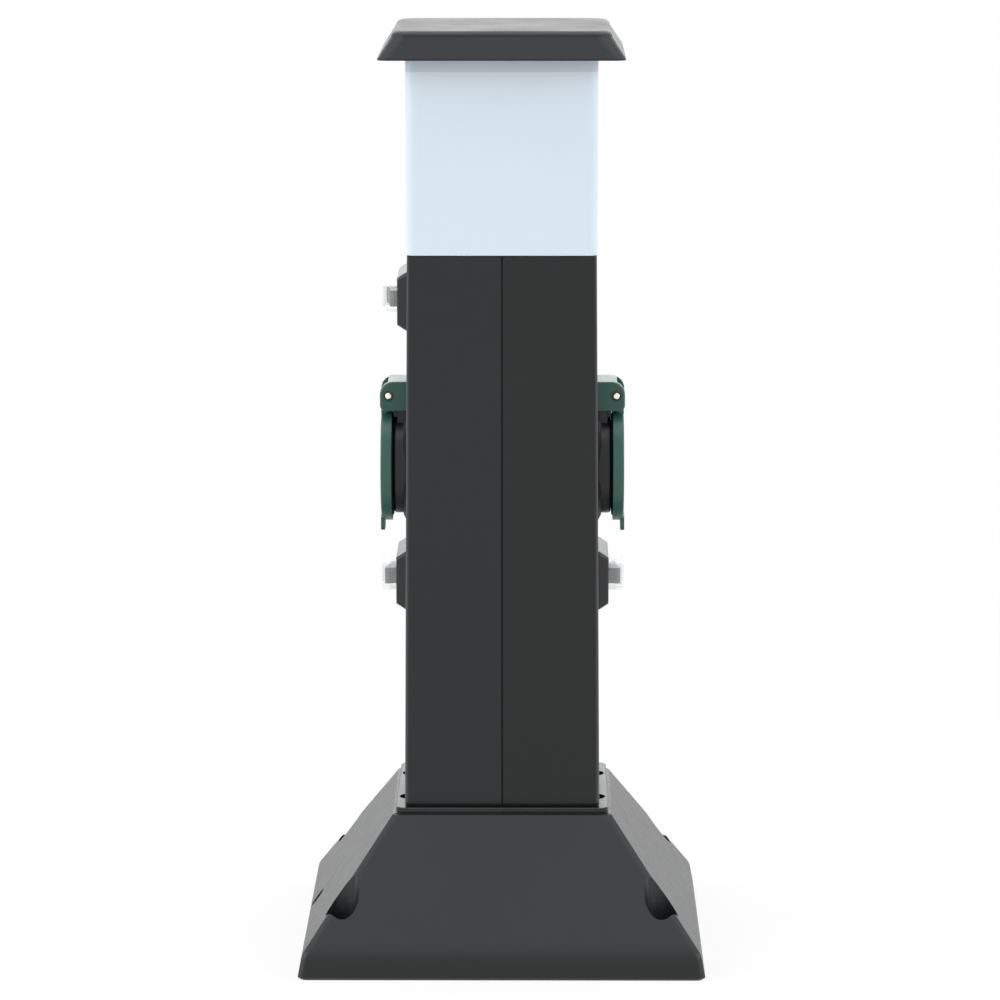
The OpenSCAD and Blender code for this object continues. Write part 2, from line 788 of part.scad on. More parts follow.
module socket_gasket(side) {
    color(rubber_black) on_side(side) translate([0, 0, socket_z]) difference() {
        loft_x([[socket_w / 2 - 0.2, socket_w / 2 - 0.2, 3.3, socket_seat],
                [socket_w / 2 - 0.2, socket_w / 2 - 0.2, 3.3, flange_x]]);
        rod_x(2 * body_r + 0.4, socket_seat - 1, flange_x + 1);
        for (sy = [-1, 1], sz = [-1, 1]) translate([0, sy * socket_pitch / 2, sz * socket_pitch / 2])
            rod_x(thread_d, socket_seat - 1, flange_x + 1);
    }
}

// Countersunk screw along -Z, flush with z = 0
module flush_screw(len, d, hd) {
    difference() {
        union() {
            translate([0, 0, -(hd - d) / 2]) cylinder(d1 = d, d2 = hd, h = (hd - d) / 2);
            translate([0, 0, 1 - len]) cylinder(d = d, h = len - 1 - (hd - d) / 2 + eps);
            translate([0, 0, -len]) cylinder(d1 = 0.6, d2 = d, h = 1 + eps);
        }
        for (turn = [0, 90]) rotate(turn) translate([-1.4, -0.35, -0.8]) cube([2.8, 0.7, 2]);
    }
}

module flange_screws(side) {
    color(zinc) on_side(side) translate([0, 0, socket_z]) for (sy = [-1, 1], sz = [-1, 1])
        translate([collar_x, sy * socket_pitch / 2, sz * socket_pitch / 2])
        rotate([0, 90, 0]) flush_screw(flange_screw_len, small_d, 2 * small_d + 0.1);
}

// Bent earth springs above and below the recess
module earth_clips(side) {
    t = 0.7;
    seat_r = recess_d / 2 + 1.5;
    reach = recess_floor + 10.6;
    color(zinc) on_side(side) translate([0, 0, socket_z]) for (sz = [0, 1]) mirror([0, 0, sz])
        rotate([90, 0, 0]) linear_extrude(6, center = true) polygon([
            [recess_floor - 1.9, seat_r - 2.4], [recess_floor - 1.9, seat_r], [reach, seat_r], [reach, seat_r - t],
            [recess_floor + 8, seat_r - 4.2], [recess_floor + 6.6, seat_r - 4.6],
            [recess_floor + 5.2, seat_r - 4.2], [recess_floor + 2.4, seat_r - 1.6],
            [recess_floor + 3.2, seat_r - 1.2], [recess_floor + 5.6, seat_r - 3.4],
            [recess_floor + 6.6, seat_r - 3.8], [recess_floor + 7.6, seat_r - 3.4],
            [reach - 0.6, seat_r - t - 0.3], [recess_floor - 1.2, seat_r - t], [recess_floor - 1.2, seat_r - 2.4]]);
}

module contact_sleeves(side) {
    color(brass_yellow) on_side(side) translate([0, 0, socket_z]) for (sy = [-1, 1])
        translate([0, sy * pin_pitch / 2, 0]) difference() {
            rod_x(sleeve_d, socket_back + 1.6, recess_floor - 1.7);
            rod_x(4.9, socket_back + 3.2, recess_floor);
            block([socket_back + 6, -0.4, 0], [recess_floor, 0.4, sleeve_d]);
        }
}

// Hinge block: two ears under a roof, on the wall above the socket; its outline drawn in by an inset
function hinge_outline(inset) =
    let (r = ear_low_r - inset, big = ear_top_r - inset)
    concat([[hinge_seat, ear_low + inset]],
        [for (a = [-90:15:0]) [ear_x - ear_low_r + r * cos(a), ear_low + ear_low_r + r * sin(a)]],
        [for (a = [0:10:90]) [ear_x - ear_top_r + big * cos(a), ear_top - ear_top_r + big * sin(a)]],
        [[hinge_seat, ear_top - inset]]);

// The outline skinned along Y, with rounded rims at both ends
module hinge_solid() {
    ease = [for (a = [0:22.5:90]) [rim_r * (1 - sin(a)), hinge_w / 2 - rim_r * (1 - cos(a))]];
    levels = concat([for (e = ease) [e[0], -e[1]]], [for (i = [len(ease) - 1:-1:0]) ease[i]]);
    n = len(hinge_outline(0));
    last = len(levels) - 1;
    polyhedron(points = [for (l = levels, p = hinge_outline(l[0])) [p[0], l[1], p[1]]],
        faces = concat([[for (i = [0:n - 1]) i]], [[for (i = [n - 1:-1:0]) last * n + i]],
            [for (k = [0:last - 1], i = [0:n - 1]) let (j = (i + 1) % n)
                [k * n + i, (k + 1) * n + i, (k + 1) * n + j, k * n + j]]));
}

module hinge_block(side) {
    slot = hinge_w / 2 - ear_t;
    color(moss_green) on_side(side) difference() {
        hinge_solid();
        block([back_x, -slot, ear_low - 1], [ear_x + 1, slot, ear_top - roof_t]);
        block([pin_x - 1.4, -slot, ear_low - 1], [ear_x + 1, slot, ear_top - lip_t]);
        block([roof_x, -slot, ear_low - 1], [ear_x + 1, slot, ear_top + 1]);
        translate([pin_x, 0, hinge_z]) rod_y(hinge_pin_d + 2 * ear_gap, hinge_w + 2);
        for (sy = [-1, 1]) translate([pin_x, sy * hinge_w / 2, hinge_z]) rod_y(hinge_pin_d + 1.4, 1);
        for (sy = [-1, 1]) translate([0, sy * hinge_screw_y, hinge_z])
            rod_x(small_pilot_d, hinge_seat - 1, back_x - 0.8);
    }
}

module hinge_screws(side) {
    reach = back_x - 1.2;
    color(zinc) on_side(side) for (sy = [-1, 1])
        translate([column_inside(hinge_z) - 0.05, sy * hinge_screw_y, hinge_z]) rotate([0, -90, 0])
        screw(reach - column_inside(hinge_z), small_d, 5.4, 1.8);
}

module hinge_pin(side) {
    color(brass_yellow) on_side(side) translate([pin_x, 0, hinge_z]) {
        rod_y(hinge_pin_d, hinge_w);
        for (turn = [90, -90]) rotate([turn, 0, 0]) translate([0, 0, hinge_w / 2 - eps])
            cylinder(d1 = hinge_pin_d, d2 = hinge_pin_d - 0.8, h = 0.3);
    }
}

// Round lid with a hollow back, its arm and knuckles, and the finger tab
module lid(side) {
    r = lid_d / 2;
    edge = 0.7;
    tab_out = 0.4;
    tab_in = 1.4;
    drop = hinge_z - socket_z;
    notch = knuckle_d / 2 + 0.7;
    hollow_r = r - lid_wall - 0.2;
    color(moss_green) on_side(side) difference() {
        union() {
            translate([0, 0, socket_z]) turned_x(concat(
                [[0, lid_back], [r, lid_back]],
                [for (a = [0:15:90]) [r - edge + edge * cos(a), lid_face - edge + edge * sin(a)]],
                [[0, lid_face]]));
            translate([0, 0, hinge_z]) {
                block([lid_face - arm_t, -arm_w / 2, -drop + r - 5], [lid_face, arm_w / 2, 0]);
                for (sy = [-1, 1]) translate([0, sy * (arm_w + spring_gap_w) / 4, 0]) {
                    translate([pin_x, 0, 0]) rod_y(knuckle_d, (arm_w - spring_gap_w) / 2);
                    block([lid_face - 3.4, -(arm_w - spring_gap_w) / 4, -drop + r - 1],
                          [lid_face, (arm_w - spring_gap_w) / 4, 0]);
                }
            }
            hull() for (sy = [-1, 1]) translate([0, sy * (tab_w / 2 - 3), socket_z - r - tab_drop + 3])
                rod_x(6, lid_face - tab_in, lid_face + tab_out);
            block([lid_face - tab_in, -tab_w / 2, socket_z - r - tab_drop + 3],
                  [lid_face + tab_out, tab_w / 2, socket_z - r + 3]);
        }
        translate([0, 0, socket_z]) rod_x(2 * hollow_r, lid_back - 5, lid_face - lid_wall);
        translate([pin_x, 0, hinge_z]) rod_y(hinge_pin_d + 2 * knuckle_gap, hinge_w);
        block([lid_back, -spring_gap_w / 2, hinge_z - notch], [lid_face + 1, spring_gap_w / 2, hinge_z + 5]);
        translate([pin_x + coil_r, coil_y, hinge_z - leg_drop - 0.6])
            cylinder(d = wire_d + 0.4, h = leg_drop);
    }
}

module lid_seal(side) {
    ring_r = lid_d / 2 - lid_wall - 0.3;
    color(rubber_black) on_side(side) translate([0, 0, socket_z]) turned_x([
        [recess_d / 2 + 0.8, lid_face - lid_wall], [recess_d / 2 + 0.8, socket_face + 0.8],
        [recess_d / 2 + 1.6, socket_face + seal_press], [ring_r - 0.8, socket_face + seal_press],
        [ring_r, socket_face + 0.8], [ring_r, lid_face - lid_wall]]);
}

// Lid spring: one wire, from a leg on the block through the coil to a leg in the lid
coil_steps = 8;
coil_sweep = 360 * spring_turns + 180;
function coil_point(i) =
    let (t = i / ((spring_turns + 0.5) * coil_steps), a = 180 - coil_sweep * t)
    [pin_x + coil_r * cos(a), -coil_y + 2 * coil_y * t, hinge_z + coil_r * sin(a)];
coil_count = (spring_turns + 0.5) * coil_steps;
leg_back = back_x + wire_d / 2 + 0.1;
spring_points = concat(
    [[leg_back, -coil_y, hinge_z - leg_drop], [leg_back, -coil_y, hinge_z - leg_drop * 0.7],
     [(leg_back + pin_x - coil_r) / 2, -coil_y, hinge_z - leg_drop * 0.35]],
    [for (i = [0:coil_count]) coil_point(i)],
    [[pin_x + coil_r, coil_y, hinge_z - leg_drop * 0.5], [pin_x + coil_r, coil_y, hinge_z - leg_drop]]);
leg_points = 3;

// Reference direction of a ring: away from the pin on the coil, +X or -X on the legs
function ring_side(i) =
    i < leg_points ? [-1, 0, 0]
    : i > leg_points + coil_count ? [1, 0, 0]
    : let (p = spring_points[i]) [p[0] - pin_x, 0, p[2] - hinge_z];
function ring(i, sides) =
    let (last = len(spring_points) - 1,
         t = unit(spring_points[min(i + 1, last)] - spring_points[max(i - 1, 0)]),
         u = unit(ring_side(i) - (ring_side(i) * t) * t),
         v = cross(t, u))
    [for (k = [0:sides - 1]) spring_points[i] + wire_d / 2 * (u * cos(360 * k / sides) + v * sin(360 * k / sides))];

// Least gap between two turns of the wire
spring_gap = min([for (i = [0:len(spring_points) - 1], j = [i + 5:1:len(spring_points) - 1])
    norm(spring_points[i] - spring_points[j])]) - wire_d;

module lid_spring(side) {
    sides = 6;
    last = len(spring_points) - 1;
    points = [for (i = [0:last], p = ring(i, sides)) p];
    faces = concat([[for (k = [sides - 1:-1:0]) k]], [[for (k = [0:sides - 1]) last * sides + k]],
        [for (i = [0:last - 1], k = [0:sides - 1], t = [0, 1]) let (j = (k + 1) % sides, a = i * sides, b = a + sides)
            t == 0 ? [a + k, a + j, b + j] : [a + k, b + j, b + k]]);
    echo(least_gap_of_the_spring = spring_gap);
    color(zinc) on_side(side) polyhedron(points = points, faces = faces);
}

// Switches, drawn for the right side about z = 0 with x = 0 on the seat
module at_switch(side, z) {
    on_side(side) translate([switch_seat(z), 0, z]) children();
}

module bezel(side, z) {
    face_w = bezel_w / 2 - 0.8;
    face_h = bezel_h / 2 - 2.5;
    color(soft_black) at_switch(side, z) difference() {
        loft_x([[bezel_w / 2, bezel_h / 2, 2, 0],
                [bezel_w / 2, bezel_h / 2, 2, 0.5],
                [face_w, face_h, 1.6, bezel_t - 0.4],
                [face_w - 0.4, face_h - 0.4, 1.2, bezel_t]]);
        loft_x([[body_w / 2 + 1.7, body_h / 2 + 1.7, 1, -1], [body_w / 2 + 1.7, body_h / 2 + 1.7, 1, pocket_t]]);
        loft_x([[cover_w / 2 + 0.2, cover_h / 2 + 0.2, 1.7, 0], [cover_w / 2 + 0.2, cover_h / 2 + 0.2, 1.7, bezel_t + 1]]);
    }
}

module clear_cover(side, z) {
    hw = cover_w / 2;
    hh = cover_h / 2;
    top = bezel_t + cover_t;
    color(clear_grey) at_switch(side, z) difference() {
        union() {
            loft_x([[body_w / 2 + 1.5, body_h / 2 + 1.5, 1, rim_t], [body_w / 2 + 1.5, body_h / 2 + 1.5, 1, pocket_t]]);
            loft_x([[hw, hh, 1.5, rim_t], [hw, hh, 1.5, top - 0.8], [hw - 0.3, hh - 0.3, 1.3, top - 0.2],
                    [hw - 0.9, hh - 0.9, 1, top]]);
        }
        loft_x([[hw - cover_wall, hh - cover_wall, 0.8, 0], [hw - cover_wall, hh - cover_wall, 0.8, top - cover_wall]]);
    }
}

// Rocker: a wedge with a hollowed face on two trunnions, tilted to one side
module rocker(side, z, tilt) {
    top = bezel_t + cover_t - cover_wall - 2.2;
    half = rocker_w / 2;
    color(rocker_grey) at_switch(side, z) translate([pivot_s, 0, 0]) rotate(tilt) {
        linear_extrude(rocker_h, center = true) polygon(concat(
            [[-2.2, -half * 0.55], [-2.2, half * 0.55]],
            [[top - 2, half], [top - 0.7, half - 0.1], [top - 0.2, half - 0.6]],
            [for (i = [-4:4]) [top - 0.2 - 0.6 * (1 - i * i / 16), -i / 4 * (half - 1.4)]],
            [[top - 0.2, -half + 0.6], [top - 0.7, -half + 0.1], [top - 2, -half]]));
        cylinder(d = trunnion_d, h = rocker_h + 2 * trunnion_len, center = true);
    }
}

// Switch housing behind the wall, with two spade terminals
module switch_body(side, z) {
    cavity_w = rocker_w / 2 + 0.4;
    cavity_h = rocker_h / 2 + 0.3;
    color(soft_black) at_switch(side, z) {
        difference() {
            union() {
                block([-body_depth, -body_w / 2, -body_h / 2], [rim_t, body_w / 2, body_h / 2]);
                loft_x([[body_w / 2 + 1.5, body_h / 2 + 1.5, 1, 0], [body_w / 2 + 1.5, body_h / 2 + 1.5, 1, rim_t]]);
            }
            block([-5, -cavity_w, -cavity_h], [rim_t + 1, cavity_w, cavity_h]);
            translate([pivot_s, 0, 0])
                cylinder(d = trunnion_d + 2 * knuckle_gap, h = rocker_h + 2 * trunnion_len + 0.4, center = true);
        }
        for (sy = [-1, 1]) block([-body_depth - spade_len, sy * 7 - 2.4, -0.4], [-body_depth + 1, sy * 7 + 2.4, 0.4]);
    }
}

// Terminal block on the inside of the right shell
block_z = column_z + 25.2;
block_h = 20;
block_depth = 17;
block_w = 33;
block_x = column_inside(block_z + block_h) - 0.1;

block_peg_d = 2.2;
block_step = 11;

// Pegs on the shell that carry the terminal block, between its ways
module at_block_pegs() {
    for (sy = [-1, 1]) translate([0, sy * block_step / 2, block_z + block_h / 2]) children();
}

module terminal_block() {
    color(cream_white) difference() {
        union() {
            block([block_x - 3, -block_w / 2, block_z], [block_x, block_w / 2, block_z + block_h]);
            for (i = [-1:1]) translate([0, i * block_step, 0])
                block([block_x - block_depth, -4.2, block_z], [block_x - 2, 4.2, block_z + block_h]);
        }
        for (i = [-1:1]) translate([0, i * block_step, 0]) {
            translate([block_x - 9, 0, block_z - 1]) cylinder(d = 4.4, h = block_h + 2);
            for (dz = [5, block_h - 5]) translate([0, 0, block_z + dz])
                rod_x(4.2, block_x - block_depth - 1, block_x - 9);
        }
        at_block_pegs() rod_x(block_peg_d + 0.2, block_x - 4, block_x + 1);
    }
}

module terminal_screws() {
    color(zinc) for (i = [-1:1], dz = [5, block_h - 5])
        translate([block_x - block_depth + 3, i * block_step, block_z + dz])
        difference() {
            rod_x(4, -1.6, 4);
            block([-2, -1.8, -0.35], [-0.8, 1.8, 0.35]);
        }
}

// Rubber grommet in a pocket behind the cable entry
module cable_grommet() {
    color(rubber_black) translate([0, 0, entry_z]) difference() {
        union() {
            rod_x(grommet_d - 2 * slide_gap, pocket_x, sleeve_x + 0.4);
            rod_x(grommet_d + 3, sleeve_x, sleeve_x + 2.5);
        }
        rod_x(grommet_bore, -foot_w, 0);
    }
}

module cable_clamp() {
    saddle_r = grommet_bore / 2 + 2;
    color(soft_black) translate([clamp_x, 0, clamp_z]) difference() {
        union() {
            block([-4.5, -clamp_y - 5, 0], [4.5, clamp_y + 5, 2.6]);
            translate([0, 0, grommet_bore / 2 + 0.5]) rod_x(2 * saddle_r + 2, -4.5, 4.5);
        }
        translate([0, 0, grommet_bore / 2 + 0.5]) rod_x(grommet_bore + 0.6, -6, 6);
        block([-6, -saddle_r - 2, -20], [6, saddle_r + 2, 0]);
        block([-6, -grommet_bore / 2 - 0.3, -1], [6, grommet_bore / 2 + 0.3, grommet_bore / 2]);
        for (sy = [-1, 1]) translate([0, sy * clamp_y, -1]) cylinder(d = thread_d + 0.4, h = 6);
    }
}

module clamp_screws() {
    color(zinc) for (sy = [-1, 1]) translate([clamp_x, sy * clamp_y, clamp_z + 2.6]) screw(9);
}

foot();
column_left();
column_right();
column_screws();
foot_screws();
lamp_plate();
plate_screws();
lamp_shade();
cap();
cap_seal();
lamp_holder();
lamp_contact();
bulb_base();
bulb_glass();
socket_body(-1);  // socket_body_left
socket_body(1);  // socket_body_right
socket_gasket(-1);  // socket_gasket_left
socket_gasket(1);  // socket_gasket_right
flange_screws(-1);  // flange_screws_left
flange_screws(1);  // flange_screws_right
earth_clips(-1);  // earth_clips_left
earth_clips(1);  // earth_clips_right
contact_sleeves(-1);  // contact_sleeves_left
contact_sleeves(1);  // contact_sleeves_right
hinge_block(-1);  // hinge_block_left
hinge_block(1);  // hinge_block_right
hinge_screws(-1);  // hinge_screws_left
hinge_screws(1);  // hinge_screws_right
hinge_pin(-1);  // hinge_pin_left
hinge_pin(1);  // hinge_pin_right
lid(-1);  // lid_left
lid(1);  // lid_right
lid_seal(-1);  // lid_seal_left
lid_seal(1);  // lid_seal_right
lid_spring(-1);  // lid_spring_left
lid_spring(1);  // lid_spring_right
bezel(-1, switch_high_z);  // bezel_lamp
bezel(-1, switch_low_z);  // bezel_left
bezel(1, switch_low_z);  // bezel_right
rocker(-1, switch_high_z, -rocker_tilt);  // rocker_lamp
rocker(-1, switch_low_z, rocker_tilt);  // rocker_left
rocker(1, switch_low_z, rocker_tilt);  // rocker_right
clear_cover(-1, switch_high_z);  // clear_cover_lamp
clear_cover(-1, switch_low_z);  // clear_cover_left
clear_cover(1, switch_low_z);  // clear_cover_right
switch_body(-1, switch_high_z);  // switch_body_lamp
switch_body(-1, switch_low_z);  // switch_body_left
switch_body(1, switch_low_z);  // switch_body_right
terminal_block();
terminal_screws();
cable_grommet();
cable_clamp();
clamp_screws();
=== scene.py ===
"""Looks of the garden socket pillar: finishes, wound lid springs, collar shoulders and the stage."""

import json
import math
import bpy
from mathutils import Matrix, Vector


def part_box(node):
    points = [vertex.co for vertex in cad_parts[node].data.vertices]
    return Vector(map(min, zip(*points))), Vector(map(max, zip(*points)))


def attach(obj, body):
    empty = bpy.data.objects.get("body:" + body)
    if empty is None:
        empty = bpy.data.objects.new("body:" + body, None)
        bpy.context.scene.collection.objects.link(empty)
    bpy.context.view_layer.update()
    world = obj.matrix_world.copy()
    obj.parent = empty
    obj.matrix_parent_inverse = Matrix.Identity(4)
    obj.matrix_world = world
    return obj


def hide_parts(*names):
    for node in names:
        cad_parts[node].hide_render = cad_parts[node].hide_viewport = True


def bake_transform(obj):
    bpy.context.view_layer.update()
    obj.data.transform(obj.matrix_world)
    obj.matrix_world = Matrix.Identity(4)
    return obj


bl_info = {
    "name": "Garden Socket Pillar",
    "version": (1, 0, 0),
    "blender": (4, 5, 0),
    "location": "View3D > Sidebar > Pillar",
    "description": "Finishes, lid springs, collar shoulders and a photo stage for a garden socket pillar",
    "category": "Object",
}

from functools import cache

import bmesh
import bpy
from bpy.props import FloatProperty, FloatVectorProperty, IntProperty, PointerProperty
from mathutils import Euler, Vector

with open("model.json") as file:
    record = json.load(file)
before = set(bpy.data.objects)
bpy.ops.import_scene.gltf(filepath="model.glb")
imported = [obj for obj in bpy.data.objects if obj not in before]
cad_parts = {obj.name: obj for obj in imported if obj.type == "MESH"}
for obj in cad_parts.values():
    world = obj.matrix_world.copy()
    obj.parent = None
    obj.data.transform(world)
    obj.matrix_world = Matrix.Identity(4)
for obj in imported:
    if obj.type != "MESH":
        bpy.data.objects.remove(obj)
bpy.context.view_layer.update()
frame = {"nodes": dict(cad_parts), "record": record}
MM = 0.001
SIDES = {"left": -1, "right": 1}
SMOOTH_ANGLE = math.radians(40)


# Shader nodes


def empty_tree(owner):
    """The cleared node tree of a material or a world."""
    owner.use_nodes = True
    owner.node_tree.nodes.clear()
    return owner.node_tree


def new_node(tree, kind, **inputs):
    """A node with the named inputs set; an underscore stands for a space."""
    node = tree.nodes.new(kind)
    for name, value in inputs.items():
        node.inputs[name.replace("_", " ")].default_value = value
    return node


def math_node(tree, operation, *values):
    """A math node on sockets or plain numbers."""
    node = new_node(tree, "ShaderNodeMath")
    node.operation = operation
    for value, socket in zip(values, node.inputs):
        if isinstance(value, (int, float)):
            socket.default_value = value
        else:
            tree.links.new(value, socket)
    return node.outputs[0]


def ramp_node(tree, value, low, high, start, end):
    """Maps value from start..end to low..high, and holds it there."""
    node = new_node(tree, "ShaderNodeMapRange", From_Min=start, From_Max=end, To_Min=low, To_Max=high)
    tree.links.new(value, node.inputs["Value"])
    return node.outputs["Result"]


def mix_surface(tree, share, first, second, output):
    """Sends a mix of two shaders to the output; share is that of the second."""
    mix = new_node(tree, "ShaderNodeMixShader")
    tree.links.new(share, mix.inputs["Fac"])
    tree.links.new(first.outputs[0], mix.inputs[1])
    tree.links.new(second.outputs[0], mix.inputs[2])
    tree.links.new(mix.outputs[0], output.inputs["Surface"])


class Finish:
    """Builds one procedural material on Object coordinates."""

    def __init__(self, name, color, roughness, gloss=1.0):
        self.material = bpy.data.materials.new(name)
        self.tree = empty_tree(self.material)
        self.shader = self.add("ShaderNodeBsdfPrincipled", Base_Color=(*color, 1), Roughness=roughness,
                               Specular_Tint=(gloss, gloss, gloss, 1))
        output = self.add("ShaderNodeOutputMaterial")
        self.link(self.shader.outputs[0], output.inputs["Surface"])
        self.place = self.add("ShaderNodeTexCoord").outputs["Object"]
        self.color = color
        self.roughness = roughness
        self.normal = None

    def add(self, kind, **inputs):
        return new_node(self.tree, kind, **inputs)

    def link(self, source, target):
        self.tree.links.new(source, target)

    def stretched(self, scale):
        """Object coordinates scaled along each axis."""
        mapping = self.add("ShaderNodeMapping", Scale=scale)
        self.link(self.place, mapping.inputs["Vector"])
        return mapping.outputs[0]

    def noise(self, scale, detail, rough=0.55, along=None):
        node = self.add("ShaderNodeTexNoise", Scale=scale, Detail=detail, Roughness=rough)
        self.link(along or self.place, node.inputs["Vector"])
        return node.outputs["Fac"]

    def ramp(self, value, low, high, start=0.0, end=1.0):
        """Maps value from start..end to low..high."""
        return ramp_node(self.tree, value, low, high, start, end)

    def combine(self, operation, *values):
        return math_node(self.tree, operation, *values)

    def multiply(self, a, b):
        return self.combine("MULTIPLY", a, b)

    def axis(self, name):
        """One Object coordinate, in metres."""
        split = self.add("ShaderNodeSeparateXYZ")
        self.link(self.place, split.inputs[0])
        return split.outputs[name]

    def reach(self, name):
        """Distance from the middle plane across one axis."""
        return self.combine("ABSOLUTE", self.axis(name))

    def tint(self, value, other, amount=1.0):
        """Blends the base colour towards another by a value."""
        mix = self.add("ShaderNodeMix")
        mix.data_type = "RGBA"
        base = self.shader.inputs["Base Color"]
        if base.is_linked:
            self.link(base.links[0].from_socket, mix.inputs["A"])
        else:
            mix.inputs["A"].default_value = (*self.color, 1)
        mix.inputs["B"].default_value = (*other, 1)
        self.link(self.ramp(value, 0, amount), mix.inputs["Factor"])
        self.link(mix.outputs["Result"], base)

    def bump(self, value, height, strength):
        """Adds relief; height is in metres."""
        node = self.add("ShaderNodeBump", Strength=strength, Distance=height)
        self.link(value, node.inputs["Height"])
        if self.normal:
            self.link(self.normal, node.inputs["Normal"])
        self.normal = node.outputs["Normal"]
        self.link(self.normal, self.shader.inputs["Normal"])

    def patches(self, other, scale, detail, amount):
        """Patches of another colour."""
        self.tint(self.noise(scale, detail), other, amount)

    def uneven(self, scale, detail, spread):
        """Lets the roughness vary by twice the spread at most, either way."""
        self.link(self.ramp(self.noise(scale, detail), self.roughness - 2 * spread, self.roughness + 2 * spread),
                  self.shader.inputs["Roughness"])

    def relief(self, scale, detail, height, strength):
        """Noise relief all over."""
        self.bump(self.noise(scale, detail), height, strength)


def shade(color, factor):
    return tuple(min(1, c * factor) for c in color)


def middle(box):
    """Centre of a box given by two corners."""
    return [(a + b) / 2 for a, b in zip(*box)]


# Finishes

# Heights where the painted shade over the column's flange sets in, and where it ends
SHADE_FROM = (70.2 * MM, 70.8 * MM)
SHADE_TO = (71.6 * MM, 72.6 * MM)
# From the underside of the flange up to where the painted highlight on the corners starts
HIGHLIGHT_ABOVE = (3.0 * MM, 3.6 * MM)
# Full painted highlight and none, from the corner inwards
HIGHLIGHT_WITHIN = (0.6 * MM, 1.8 * MM)
# Full painted shadow and none, from the axis of the hinge pin
SHADOW_WITHIN = (1.9 * MM, 2.9 * MM)
# The foot's skirt is painted darker up to here: painted shade on its steep face
SKIRT_TOP = (8 * MM, 16 * MM)
# Soft edge of the slopes beside the column, and of the painted shade band at the top of the lamp shade
SLOPE_EDGE = 2.0 * MM
BAND_EDGE = 0.4 * MM
# Finest grain in all moulded housings, and their slow waviness
GRAIN = {"scale": 2600, "detail": 2, "height": 0.04 * MM, "strength": 0.3}
WAVES = {"scale": 45, "detail": 2, "height": 0.3 * MM, "strength": 0.08}


def seam_painted_shade(f, sizes):
    """Darkens the joint where the column meets its flange: painted shade for the light that the column keeps off
    the flange.
    """
    low = f.ramp(f.axis("Z"), 0, 1, *SHADE_FROM)
    high = f.ramp(f.axis("Z"), 1, 0, *SHADE_TO)
    f.tint(f.multiply(low, high), shade(sizes.charcoal, 0.12))


def edge_painted_highlight(f, sizes):
    """Paints a highlight along the four long corners of the column, where their rounding catches the light."""
    column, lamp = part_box("column_left"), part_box("lamp_shade")
    half = f.ramp(f.axis("Z"), -column[0][0] - sizes.flange, lamp[1][0], column[0][2], lamp[0][2])
    corner = [f.ramp(f.combine("SUBTRACT", half, f.reach(name)), 1, 0, *HIGHLIGHT_WITHIN) for name in ("X", "Y")]
    above = f.ramp(f.axis("Z"), 0, 1, *(column[0][2] + up for up in HIGHLIGHT_ABOVE))
    f.tint(f.multiply(above, f.multiply(*corner)), shade(sizes.charcoal, 3.7))


def charcoal_plastic(sizes, name="charcoal_grain", tone=1.0):
    """Dark grey moulded plastic with a fine eroded grain."""
    color = shade(sizes.charcoal, tone)
    f = Finish(name, color, roughness=0.34, gloss=0.62)
    f.patches(shade(color, 1.22), scale=9, detail=4, amount=0.8)
    f.patches(shade(color, 0.86), scale=160, detail=2, amount=0.5)
    # painted highlight on the column's long corners
    edge_painted_highlight(f, sizes)
    # painted shade over the column's flange
    seam_painted_shade(f, sizes)
    f.uneven(scale=22, detail=5, spread=0.02)
    f.relief(**GRAIN)
    f.relief(**WAVES)
    return f.material


def cap_plastic(sizes):
    """The same plastic on the cap, duller from weather."""
    f = Finish("charcoal_cap", shade(sizes.charcoal, 1.1), roughness=0.46, gloss=0.55)
    f.patches(shade(sizes.charcoal, 1.3), scale=12, detail=4, amount=0.8)
    f.uneven(scale=30, detail=5, spread=0.05)
    f.relief(**GRAIN)
    f.relief(**WAVES)
    return f.material


def streaked_plastic(sizes):
    """The same plastic on the foot: rubbed and streaked on the two slopes beside the column."""
    f = Finish("charcoal_streaked", shade(sizes.charcoal, 1.3), roughness=0.35, gloss=0.68)
    f.patches(shade(sizes.charcoal, 1.6), scale=9, detail=4, amount=0.8)
    # painted shade on the steep skirt
    f.tint(f.ramp(f.axis("Z"), 1, 0, *SKIRT_TOP), shade(sizes.charcoal, 0.72))
    slopes = f.ramp(f.combine("SUBTRACT", f.reach("X"), f.reach("Y")), 0, 1, 0, SLOPE_EDGE)
    flow = f.multiply(slopes, f.noise(1, 4, rough=0.7, along=f.stretched((40, 210, 40))))
    specks = f.multiply(slopes, f.noise(1, 5, rough=0.8, along=f.stretched((220, 150, 220))))
    f.tint(f.ramp(specks, 0, 1, start=0.5, end=0.72), shade(sizes.charcoal, 1.9))
    f.tint(f.ramp(flow, 0, 1, start=0.52, end=0.7), shade(sizes.charcoal, 1.5))
    f.uneven(scale=150, detail=4, spread=0.03)
    f.bump(flow, height=1.2 * MM, strength=0.4)
    f.bump(specks, height=0.7 * MM, strength=0.5)
    f.relief(scale=38, detail=3, height=0.5 * MM, strength=0.08)
    f.relief(**GRAIN)
    return f.material


def pin_painted_shadow(f, color):
    """Painted shadow in a ring on the ears round both ends of a hinge pin."""
    pin = middle(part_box("hinge_pin_right"))
    x = f.combine("SUBTRACT", f.reach("X"), pin[0])
    z = f.combine("SUBTRACT", f.axis("Z"), pin[2])
    away = f.combine("SQRT", f.combine("ADD", f.multiply(x, x), f.multiply(z, z)))
    f.tint(f.ramp(away, 1, 0, *SHADOW_WITHIN), shade(color, 0.12), 0.95)


